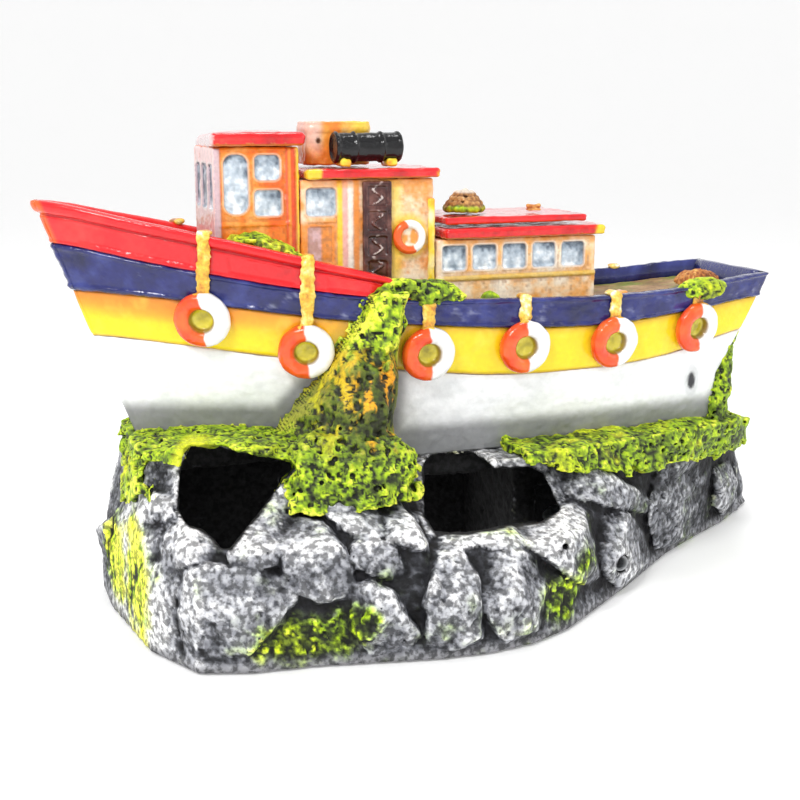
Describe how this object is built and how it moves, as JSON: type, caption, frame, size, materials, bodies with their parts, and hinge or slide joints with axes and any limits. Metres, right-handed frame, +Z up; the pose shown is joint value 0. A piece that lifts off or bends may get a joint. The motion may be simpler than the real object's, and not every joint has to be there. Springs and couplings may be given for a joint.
{
  "type": "bubbling aquarium ornament",
  "caption": "Painted fishing boat aground on a hollow mossy rock with swim-through caves; an air nipple in the rock feeds an air stone in a pocket underneath.",
  "frame": {"origin": "centre of the bounding box on the underside of the rock", "axes": "+X from the boat's bow to its stern, +Y from port to starboard, +Z up"},
  "size_m": [0.2912, 0.124, 0.1613],
  "materials": {
    "rock_grey": "cast resin, black wash and white dry brushing",
    "moss_green": "cast resin, lime and yellow dry brushing over black",
    "hull_white": "painted resin, grey airbrushed shading, gloss lacquer",
    "hull_yellow": "painted resin, orange airbrushed shading, gloss lacquer",
    "strake_navy": "painted resin, gloss",
    "bulwark_red": "painted resin, gloss",
    "deck_tan": "painted resin, satin",
    "wheelhouse_orange": "painted resin, airbrushed, gloss lacquer",
    "cabin_peach": "painted resin, airbrushed, gloss lacquer",
    "drum_black": "painted resin, high gloss",
    "ladder_brown": "painted resin, gloss",
    "rope_ochre": "painted resin, satin",
    "ring_orange_red": "painted resin, half orange red and half white, gloss",
    "rust_brown": "painted resin, dry brushed",
    "nipple_plastic": "moulded grey plastic",
    "hose_silicone": "translucent silicone",
    "stone_blue": "porous fused grit, matt"
  },
  "bodies": {
    "ornament": {"aft_cabin": "cabin_peach", "aft_cabin_roof": "bulwark_red", "aft_roof_rim": "bulwark_red", "air_hose": "hose_silicone", "air_nipple": "nipple_plastic", "bow_bulwark": "bulwark_red", "cabin_life_ring": "ring_orange_red", "cabin_post_port": "hull_yellow", "cabin_post_starboard": "hull_yellow", "deck": "deck_tan", "deck_box": "wheelhouse_orange", "deck_float": "moss_green", "drum_chock_aft": "hull_yellow", "drum_chock_fore": "hull_yellow", "fender_port_1": "ring_orange_red", "fender_port_2": "ring_orange_red", "fender_port_3": "ring_orange_red", "fender_port_4": "ring_orange_red", "fender_port_5": "ring_orange_red", "fender_port_6": "ring_orange_red", "fender_rope_port_1": "rope_ochre", "fender_rope_port_2": "rope_ochre", "fender_rope_port_3": "rope_ochre", "fender_rope_port_4": "rope_ochre", "fender_rope_port_5": "rope_ochre", "fender_rope_port_6": "rope_ochre", "fender_rope_starboard_1": "rope_ochre", "fender_rope_starboard_2": "rope_ochre", "fender_rope_starboard_3": "rope_ochre", "fender_rope_starboard_4": "rope_ochre", "fender_rope_starboard_5": "rope_ochre", "fender_rope_starboard_6": "rope_ochre", "fender_starboard_1": "ring_orange_red", "fender_starboard_2": "ring_orange_red", "fender_starboard_3": "ring_orange_red", "fender_starboard_4": "ring_orange_red", "fender_starboard_5": "ring_orange_red", "fender_starboard_6": "ring_orange_red", "fuel_drum": "drum_black", "funnel": "wheelhouse_orange", "hull_bottom": "hull_white", "hull_topsides": "hull_yellow", "mid_cabin": "cabin_peach", "mid_cabin_roof": "bulwark_red", "moss_buttress": "moss_green", "moss_ledge_bow": "moss_green", "moss_ledge_stern": "moss_green", "moss_side_deck": "moss_green", "rock_bow": "rock_grey", "rock_middle": "rock_grey", "rock_stern": "rock_grey", "roof_cleat": "rust_brown", "roof_rope_coil": "rust_brown", "sheer_strake": "strake_navy", "stern_net_heap": "rust_brown", "stone_clip": "nipple_plastic", "wall_ladder": "ladder_brown", "wheelhouse": "wheelhouse_orange", "wheelhouse_roof": "bulwark_red"},
    "air_stone": {"air_stone": "stone_blue"}
  },
  "joints": [
    {"name": "air_stone_pull", "type": "slide", "parent": "ornament", "child": "air_stone", "axis": [1, 0, 0], "range_m": [0, 0.012]}
  ]
}
